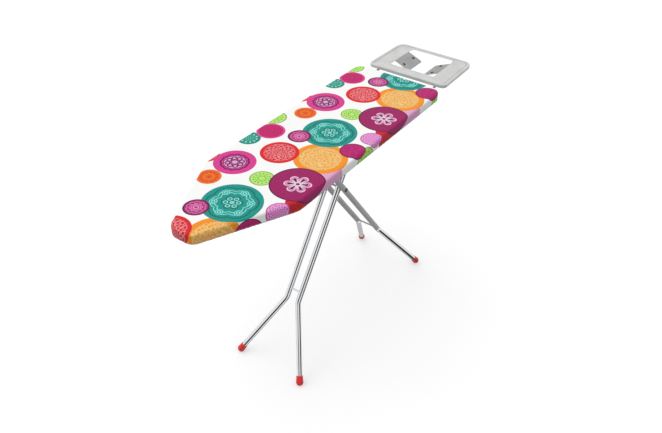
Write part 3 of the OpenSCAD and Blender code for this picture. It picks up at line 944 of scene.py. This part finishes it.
# %% Felt pad
FELT_LOW, FELT_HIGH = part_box("felt_pad")
pad = SweptSheet("felt_mat", board_outline, 12 * MM, FELT_HIGH[2] - 0.1 * MM)
for inset, drop in ((8.0, 0.15), (5.5, 0.6), (4.0, 1.4), (3.2, 2.4), (3.0, 3.3), (3.6, 3.9)):
    pad.ring(inset * MM, FELT_HIGH[2] - drop * MM)
pad.ring(12 * MM, FELT_LOW[2] + 0.05 * MM)
bpy.ops.mesh.edge_face_add()
felt_mat = pad.piece
finish_piece(felt_mat, "board", FELT, ["felt_pad"])
print("felt thickness:", round(FELT_HIGH[2] - FELT_LOW[2], 4))

# %% [markdown]
# ## Bent tubes
# The legs are steel tube bent on a former, so the corner is a true arc. A curve with a bevel could make
# that, but it is just as direct to extrude a ring: start inside the open end, come out over its rim, run
# straight, spin through the bend and run straight again. Spin turns the ring about the centre of the
# former, which lies on the inside of the bend.

# %% Tube helpers
TUBE_WALL = 1.2 * MM
TUBE_SIDES = 40
OPEN_DEPTH = 14 * MM
RIM_R = 0.3 * MM


def open_end(name, tip, direction, radius):
    """Starts a tube at an open end: the face inside the bore, its wall and the rounded rim."""
    piece = start_ring(name, tip + direction * OPEN_DEPTH, direction, radius - TUBE_WALL, TUBE_SIDES)
    push(-direction * OPEN_DEPTH)
    push((0, 0, 0))
    grow((radius - RIM_R) / (radius - TUBE_WALL), tip)
    push(direction * RIM_R)
    grow(radius / (radius - RIM_R), tip + direction * RIM_R)
    return piece


def close_end(tip, direction, radius):
    """Rounds the rim at the far end and sinks the last face a little into the bore."""
    push((0, 0, 0))
    push(direction * RIM_R)
    grow((radius - RIM_R) / radius, tip)
    push((0, 0, 0))
    grow((radius - TUBE_WALL) / (radius - RIM_R), tip)
    push(-direction * OPEN_DEPTH)


def bend_about(corner, before, after, bend_radius):
    """Spins the selected ring through the corner, from direction before to direction after."""
    angle = before.angle(after)
    axis = before.cross(after).normalized()
    inward = (after - before).normalized()
    centre = corner + inward * bend_radius / math.cos(angle / 2)
    bpy.ops.mesh.spin(
        steps=12, angle=-angle, center=tuple(centre), axis=tuple(axis), dupli=False,
        use_auto_merge=False
    )


def middle_of_selection(piece):
    """The mean place of the selected points."""
    mesh = bmesh.from_edit_mesh(piece.data)
    chosen = [v.co for v in mesh.verts if v.select]
    return sum(chosen, Vector()) / len(chosen)


def bent_tube(name, top, corner, foot, radius, bend_radius):
    """A tube with one bend, open at the top."""
    before = (corner - top).normalized()
    after = (foot - corner).normalized()
    setback = bend_radius * math.tan(before.angle(after) / 2)
    piece = open_end(name, top, before, radius)
    push(corner - before * setback - (top + before * RIM_R))
    bend_about(corner, before, after, bend_radius)
    arrived = middle_of_selection(piece)
    print(name, "leaves the bend", round((arrived - corner - after * setback).length * 1000, 3), "mm off")
    end = foot - after * RIM_R
    push(end - arrived)
    close_end(end, after, radius)
    return piece


def mirror_copy(piece, name):
    """Copies a shape to the other side of the board, with its own mesh."""
    only(piece)
    bpy.ops.object.duplicate(linked=False)
    twin = bpy.context.object
    twin.name = name
    bpy.ops.object.mode_set(mode="EDIT")
    bpy.ops.mesh.select_all(action="SELECT")
    bpy.ops.transform.resize(value=(1, -1, 1), center_override=(0, 0, 0))
    bpy.ops.object.mode_set(mode="OBJECT")
    return twin


def finish_pair(left, body, material, cad):
    """Mirrors a left-hand piece and hands both to their body."""
    right = mirror_copy(left, left.name.replace("left", "right"))
    finish_piece(left, body, material, [cad + "_left"])
    finish_piece(right, body, material, [cad + "_right"])


print("tube helpers ready")

# %% [markdown]
# ## The two pairs of legs
# Seen from the side each leg is straight, from its upper pin to its foot. Seen from the front it runs
# down beside its twin and then bends outwards, which gives the board its wide stance. The inner pair is
# chromed all the way. The outer pair is painted down to the bend, where a chromed shank is plugged in.

# %% Legs
FOOT_Z = 13.5 * MM
INNER_HALF, OUTER_HALF = 26.5 * MM, 50 * MM
INNER_BEND, OUTER_BEND = 0.37, 0.42
LEG_END, JOINT_UP = 12 * MM, 14 * MM
BEND_R, SHANK_BEND_R = 48 * MM, 34 * MM


def at_side(point, y):
    """A point of the side view, moved to y across the board."""
    return Vector((point.x, y, point.z))


front_foot = at_side(mounts["foot_front_left"], 0) + Vector((0, 0, FOOT_Z))
rear_foot = at_side(mounts["foot_rear_left"], 0) + Vector((0, 0, FOOT_Z))
front_foot_y, rear_foot_y = abs(mounts["foot_front_left"].y), abs(mounts["foot_rear_left"].y)
crossing = at_side(CROSSING, 0)
inner_line = (crossing - front_foot).normalized()
outer_line = (crossing - rear_foot).normalized()
slider = (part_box("slider_bar")[0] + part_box("slider_bar")[1]) / 2

inner_corner = front_foot.lerp(crossing, INNER_BEND)
outer_corner = rear_foot.lerp(crossing, OUTER_BEND)
outer_joint = outer_corner + outer_line * JOINT_UP

front_leg = bent_tube(
    "front_tube_left", at_side(HINGE + inner_line * LEG_END, INNER_HALF), at_side(inner_corner, INNER_HALF),
    at_side(front_foot, front_foot_y), TUBE_R, BEND_R
)
shank = bent_tube(
    "rear_shank_left", at_side(outer_joint, OUTER_HALF), at_side(outer_corner, OUTER_HALF),
    at_side(rear_foot, rear_foot_y), TUBE_R, SHANK_BEND_R
)
upper_top = at_side(slider + outer_line * LEG_END, OUTER_HALF)
upper_end = at_side(outer_joint, OUTER_HALF) + outer_line * RIM_R
upper = open_end("rear_upper_left", upper_top, -outer_line, TUBE_R)
push(upper_end - upper_top + outer_line * RIM_R)
close_end(upper_end, -outer_line, TUBE_R)
for left, body, slot, material, cad in (
    (front_leg, "front_legs", "chrome_tube", CHROME, "front_leg"),
    (shank, "rear_legs", "chrome_tube", CHROME, "rear_leg_lower"),
    (upper, "rear_legs", "leg_paint", LEG_PAINT, "rear_leg_upper"),
):
    finish_pair(left, body, material, cad)
print("leg pieces: 6")

# %% [markdown]
# ## Feet
# Each foot is a moulded cap that is pushed over the end of the tube. It has a round tip, two grip grooves
# and a collar that tapers to the tube, and it has worn flat where it stands. A lathe would turn it, and so
# does a ring that is extruded and scaled along the leg. A bisect at floor level makes the flat.

# %% Feet
FOOT_TIP, FOOT_TIP_R = -14.4 * MM, 1.6 * MM
FOOT_SECTION = (
    (-13.8, 4.4), (-12.6, 7.2), (-10.6, 9.9), (-8.0, 12.1), (-5.0, 13.6), (-2.0, 14.35), (1.0, 14.45),
    (3.0, 14.1), (3.5, 13.4), (4.4, 13.3), (4.9, 13.9), (8.2, 13.7), (8.7, 13.0), (9.6, 12.95),
    (10.1, 13.5), (13.4, 13.3), (13.9, 12.7), (14.8, 12.65), (15.3, 13.1), (22.4, 12.7), (23.5, 12.3),
    (24.0, 11.6), (24.0, 11.1), (20.0, 11.05),
)


def foot_cap(name, foot, corner):
    """Turns a cap about the line of the leg's lower part."""
    up_leg = (corner - foot).normalized()
    low, radius = FOOT_TIP, FOOT_TIP_R
    piece = start_ring(name, foot + up_leg * low, up_leg, radius, 48)
    for station, wide in FOOT_SECTION:
        push(up_leg * (station * MM - low))
        grow(wide * MM / radius, foot + up_leg * station * MM)
        low, radius = station * MM, wide * MM
    bpy.ops.mesh.select_all(action="SELECT")
    bpy.ops.mesh.bisect(plane_co=(0, 0, 0), plane_no=(0, 0, 1), use_fill=True, clear_inner=True)
    return piece


for name, foot, y, corner, half, body, slot, material in (
    ("front", front_foot, front_foot_y, inner_corner, INNER_HALF, "front_legs", "foot_plastic",
     FRONT_FOOT_RED),
    ("rear", rear_foot, rear_foot_y, outer_corner, OUTER_HALF, "rear_legs", "foot_plastic_dark",
     REAR_FOOT_RED),
):
    left = foot_cap(name + "_cap_left", at_side(foot, y), at_side(corner, half))
    finish_pair(left, body, material, name + "_foot")
print("feet: 4, each", 2 * FOOT_R, "m wide")

# %% [markdown]
# ## The iron rest
# The rest is one pressed sheet. A raised bead runs round it and then turns down into a lip, and the middle
# is cut away. It is swept like the cover. For the opening, the flat face is extruded once more and its
# points are sent along rays from the middle until they meet the opening's outline.

# %% Iron rest
REST_X0, REST_X1 = REST_LOW[0], REST_HIGH[0]
REST_Z = REST_HIGH[2]
PLATE_DROP = 1.8
FRONT_R, REAR_R = 22 * MM, 38 * MM
FRONT_HALF, REAR_HALF = REST_HIGH[1], REST_HIGH[1] - 3.5 * MM
rest_outline = arc_outline([
    (REST_X1 - REAR_R, REAR_HALF - REAR_R, REAR_R),
    (REST_X0 + FRONT_R, FRONT_HALF - FRONT_R, FRONT_R),
    (REST_X0 + FRONT_R, FRONT_R - FRONT_HALF, FRONT_R),
    (REST_X1 - REAR_R, REAR_R - REAR_HALF, REAR_R),
], 3 * MM)
OPEN_X0, OPEN_X1 = REST_X0 + 46 * MM, REST_X1 - 24 * MM
OPEN_HALF = 100 * MM
OPEN_CUT_X, OPEN_CUT_Y = 16 * MM, 11 * MM
CORNER = 2 * MM
opening = arc_outline([
    (OPEN_X1 - CORNER, OPEN_HALF - OPEN_CUT_Y, CORNER),
    (OPEN_X1 - OPEN_CUT_X, OPEN_HALF - CORNER, CORNER),
    (OPEN_X0 + CORNER, OPEN_HALF, CORNER),
    (OPEN_X0 + CORNER, -OPEN_HALF, CORNER),
    (OPEN_X1 - OPEN_CUT_X, CORNER - OPEN_HALF, CORNER),
    (OPEN_X1 - CORNER, OPEN_CUT_Y - OPEN_HALF, CORNER),
], 1 * MM)


def meet_outline(outline, centre, direction):
    """Where a ray from centre meets an outline."""
    for (a, _), (b, _) in zip(outline, outline[1:] + outline[:1]):
        side = b - a
        cross = direction.x * side.y - direction.y * side.x
        if abs(cross) < 1e-12:
            continue
        gap = a - centre
        along = (gap.x * side.y - gap.y * side.x) / cross
        share = (gap.x * direction.y - gap.y * direction.x) / cross
        if along > 0 and -1e-6 <= share <= 1 + 1e-6:
            return centre + direction * along
    return centre


# %% Press the rest and cut its opening
REST_SHEET = 1.3 * MM
tray = SweptSheet("rest_tray", rest_outline, 14.9 * MM, REST_Z - PLATE_DROP * MM)
for inset, drop in (
    (14.1, 2.1), (13.7, 2.9), (12.9, 3.0), (12.4, 2.5), (11.7, 1.2), (10.8, 0.4), (9.4, 0.05), (6.5, 0.0),
    (4.2, 0.1), (2.6, 0.5),
    (1.3, 1.3), (0.5, 2.5), (0.1, 4.2), (0.0, 6.5), (0.0, 13.4), (0.3, 14.4), (0.9, 14.9), (1.9, 15.0),
):
    tray.ring(inset * MM, REST_Z - drop * MM)
bpy.ops.mesh.select_mode(type="FACE")
mesh = bmesh.from_edit_mesh(tray.piece.data)
for face in mesh.faces:
    face.select = len(face.verts) > 10
mesh.select_flush_mode()
bmesh.update_edit_mesh(tray.piece.data)
hole = Vector(((OPEN_X0 + OPEN_X1) / 2, 0))
for spread, drop in ((0.0, 0.0), (0.5, 0.15), (0.9, 0.6), (1.0, 1.4)):
    push((0, 0, 0))
    mesh = bmesh.from_edit_mesh(tray.piece.data)
    for vertex in mesh.verts:
        if vertex.select:
            ray = (vertex.co.to_2d() - hole).normalized()
            met = meet_outline(opening, hole, ray) - ray * spread * MM
            vertex.co = (met.x, met.y, REST_Z - (PLATE_DROP + drop) * MM)
    bmesh.update_edit_mesh(tray.piece.data)
bpy.ops.mesh.delete(type="FACE")
tray.unroll()
bpy.ops.mesh.select_all(action="SELECT")
bpy.ops.mesh.normals_make_consistent(inside=False)
use_modifier(tray.piece, "SOLIDIFY", thickness=REST_SHEET, offset=-1.0)
finish_piece(tray.piece, "board", REST_PAINT, ["rest_plate"])
print("rest:", round(REST_X1 - REST_X0, 3), "by", round(2 * FRONT_HALF, 3))

# %% [markdown]
# ## The rods under the rest
# Two rods slide out from under the board and carry the rest. Each is one bar with two bends that cancel
# out, so it is made like the legs: extrude, spin one way, extrude, spin back, extrude. Its ends are solid
# and have a small chamfer.

# %% Rods of the rest
ARM_LOW, ARM_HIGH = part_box("rest_arm_left")
ARM_R = 6 * MM
ARM_Y = (ARM_LOW[1] + ARM_HIGH[1]) / 2
CHAMFER = 0.8 * MM
arm_start = Vector((ARM_LOW[0], ARM_Y, ARM_LOW[2] + ARM_R))
arm_end = Vector((ARM_HIGH[0], ARM_Y, REST_Z - 3.6 * MM - ARM_R - 0.1 * MM))
first_bend = Vector((TAIL_X - 8 * MM, ARM_Y, arm_start.z))
second_bend = Vector((REST_X0 + 46 * MM, ARM_Y, arm_end.z))
rise = (second_bend - first_bend).normalized()
level = Vector((1, 0, 0))
turn_r = 30 * MM
setback = turn_r * math.tan(level.angle(rise) / 2)
arm = start_ring("rest_rod_left", arm_start, level, ARM_R - CHAMFER, 32)
push(level * CHAMFER)
grow(ARM_R / (ARM_R - CHAMFER), arm_start + level * CHAMFER)
push(first_bend - level * setback - arm_start - level * CHAMFER)
bend_about(first_bend, level, rise, turn_r)
push(second_bend - rise * setback - middle_of_selection(arm))
bend_about(second_bend, rise, level, turn_r)
push(arm_end - level * CHAMFER - middle_of_selection(arm))
push(level * CHAMFER)
grow((ARM_R - CHAMFER) / ARM_R, arm_end)
finish_pair(arm, "board", CHROME, "rest_arm")
print("rods rise", round((arm_end.z - arm_start.z) * 1000, 1), "mm")

# %% [markdown]
# ## The flaps that hold the iron
# Two tongues are bent down from the sides of the opening, so that the iron leans in between them. Each is
# a rounded rectangle of sheet. It is bisected into narrow strips next to the hinge, and every point is
# then laid along the bend: round a small radius first and straight down the slope after it.

# %% Flaps
FLAP_LOW, FLAP_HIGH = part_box("rest_flap_left")
HINGE_Y, HINGE_Z = FLAP_HIGH[1], FLAP_HIGH[2]
TIP_Y = FLAP_LOW[1]
SHEET_T = 1.7 * MM
slope = math.atan2(HINGE_Z - FLAP_LOW[2] - SHEET_T, HINGE_Y - TIP_Y)
FLAP_BEND_R, FLAP_EDGE_R = 5 * MM, 1.5 * MM
flap_reach = math.hypot(HINGE_Z - FLAP_LOW[2] - SHEET_T, HINGE_Y - TIP_Y) - 1.2 * MM
corner_r = 9 * MM
flap_mid = (FLAP_LOW[0] + FLAP_HIGH[0]) / 2
flap_half = (FLAP_HIGH[0] - FLAP_LOW[0]) / 2 - 0.2 * MM
flap_shape = arc_outline([
    (flap_mid + flap_half - FLAP_EDGE_R, -FLAP_EDGE_R, FLAP_EDGE_R),
    (flap_mid - flap_half + FLAP_EDGE_R, -FLAP_EDGE_R, FLAP_EDGE_R),
    (flap_mid - flap_half + corner_r, corner_r - flap_reach, corner_r),
    (flap_mid + flap_half - corner_r, corner_r - flap_reach, corner_r),
], 1.5 * MM)
flap = SweptSheet("flap_left", flap_shape, 1.2 * MM, HINGE_Z, cut=3 * MM)
flap.ring(0.5 * MM, HINGE_Z - 0.15 * MM)
flap.ring(0.1 * MM, HINGE_Z - 0.6 * MM)
mesh = bmesh.from_edit_mesh(flap.piece.data)
for vertex in mesh.verts:
    run, depth = -vertex.co.y, vertex.co.z - HINGE_Z
    turned = min(slope, max(0.0, run / FLAP_BEND_R))
    rest_of_run = max(0.0, run - slope * FLAP_BEND_R)
    vertex.co.y = (
        HINGE_Y - FLAP_BEND_R * math.sin(turned) - rest_of_run * math.cos(slope) + depth * math.sin(turned)
    )
    vertex.co.z = (
        HINGE_Z - FLAP_BEND_R * (1 - math.cos(turned)) - rest_of_run * math.sin(slope)
        + depth * math.cos(turned)
    )
bmesh.update_edit_mesh(flap.piece.data)
bpy.ops.mesh.select_all(action="SELECT")
bpy.ops.mesh.normals_make_consistent(inside=False)
mesh = bmesh.from_edit_mesh(flap.piece.data)
if sum(f.normal.z * f.calc_area() for f in mesh.faces) < 0:
    bpy.ops.mesh.flip_normals()
use_modifier(flap.piece, "SOLIDIFY", thickness=1.4 * MM, offset=-1.0)
# The flaps take a darker grey copy of the rest's paint: painted shade.
finish_pair(flap.piece, "board", FLAP_SHADED_PAINT, "rest_flap")
print("flap slope:", round(math.degrees(slope), 1), "degrees")

# %% [markdown]
# ## Finishes for the parts that stay as they are
# Rails, brackets, pins, braces and the lever come straight from the mechanical model. They are pressed,
# turned or moulded parts with plain shapes, so only their finish is added, part by part.

# %% Finishes for carried-over parts
FINISHES = {
    PANEL_PAINT: ("top_panel", "rim_frame", "cross_brace_front", "cross_brace_rear"),
    ZINC: (
        "slide_rail_left", "slide_rail_right", "rail_rivets", "hinge_bracket_left", "hinge_bracket_right",
        "hinge_pin", "height_lever", "lever_pin", "lever_spring", "rest_clamps", "clamp_screws",
        "front_sleeve", "slider_bar", "slider_nuts", "pivot_pin", "pivot_washers",
    ),
    CHROME: ("front_cross_rod",),
    LEG_PAINT: ("rear_cross_rod",),
    GRIP_PLASTIC: ("lever_grip",),
    STUD_RUBBER: ("rest_studs",),
    BLACK_CAP: ("pivot_caps",),
    BUSH_NYLON: ("slider_bush_left", "slider_bush_right"),
}
for material, names in FINISHES.items():
    for name in names:
        node = bpy.data.objects[name]
        node.data.materials.clear()
        node.data.materials.append(material)
print("finished nodes:", sum(len(names) for names in FINISHES.values()))

# %% [markdown]
# ## The floor
# The board stands on a pale matt floor that fills the view. The floor takes the shadows, but it is kept
# out of the object's own light and reflections: the walls of the studio, which come next, do that work
# and can be set like white and black cards. A little glow of its own, as on a lit table, keeps the shadows
# under the feet faint.

# %% Floor
deselect_all()
bpy.ops.mesh.primitive_plane_add(size=60, location=(0, 0, -0.0005))
floor = bpy.context.object
floor.name = "floor"
paint = Bench("floor_white", roughness=0.9, Specular_IOR_Level=0.1, Emission_Color=(1, 1, 1, 1),
              Emission_Strength=0.42)
paint.colour(paint.mix(paint.noise(paint.place(), 2.0), linear(206, 206, 206), linear(210, 210, 210)))
floor.data.materials.append(paint.material)
floor.visible_glossy = False
floor.visible_diffuse = False
print("floor is 60 m wide")

# %% [markdown]
# ## The studio round it
# Chrome shows only what is round it, so in a plain white room it looks like white plastic. A black card
# stood beside it becomes a dark line down the tube. Here the cards are two dark sectors, and one dim one,
# of the world, seen by reflections only. Everything else sees a sky that is white above and dim
# below, which shades the skirt towards its hem.

# %% World
UPPER_LIGHT, LOWER_LIGHT = 0.76, 0.26
CARDS = ((-163.0, 21.0, 0.99), (-79.0, 22.0, 0.97), (35.0, 34.0, 0.45))
world = bpy.data.worlds.new("studio")
world.use_nodes = True
bpy.context.scene.world = world
room = world.node_tree
sky = room.nodes["Background"]
sky.inputs["Color"].default_value = (1, 1, 1, 1)
look = room.nodes.new("ShaderNodeTexCoord")
split = room.nodes.new("ShaderNodeSeparateXYZ")
room.links.new(look.outputs["Generated"], split.inputs[0])
east, north, height = (Field(room, socket) for socket in split.outputs)
facing = north.do("ARCTAN2", east)
brightness = east * 0.0 + 1.0
for middle, half_width, dark in CARDS:
    away = (facing - math.radians(middle)).do("WRAP", math.pi, -math.pi).size()
    brightness = brightness * (-(away.below(math.radians(half_width), math.radians(7))) * dark + 1.0)
overhead = (-height).below(-0.55, 0.2)
brightness = brightness.most(overhead)
soft_room = (-height).below(0.0, 1.1) * (UPPER_LIGHT - LOWER_LIGHT) + LOWER_LIGHT
seen = room.nodes.new("ShaderNodeLightPath")
mirrored = Field(room, seen.outputs["Is Glossy Ray"])
in_view = Field(room, seen.outputs["Is Camera Ray"])
strength = (mirrored * brightness + (-mirrored + 1.0) * soft_room).most(in_view)
room.links.new(strength.socket, sky.inputs["Strength"])
print("cards:", len(CARDS))

# %% [markdown]
# ## The lamp
# One very broad lamp, far away overhead, gives the faint shadow its direction and lights the floor and the
# board alike. A sun lamp with a wide angle does that: it has no distance, and its shadow has no hard edge.

# %% Lamp
lamp_data = bpy.data.lights.new("overhead", "SUN")
lamp_data.energy = 1.0
lamp_data.angle = math.radians(70)
lamp = bpy.data.objects.new("overhead", lamp_data)
lamp.rotation_euler = Vector((-0.25, 0.35, 1.0)).to_track_quat("Z", "Y").to_euler()
lamp.visible_glossy = False
bpy.context.scene.collection.objects.link(lamp)
bpy.context.scene.view_settings.view_transform = "Standard"
print("lamp angle:", round(math.degrees(lamp_data.angle)), "degrees")
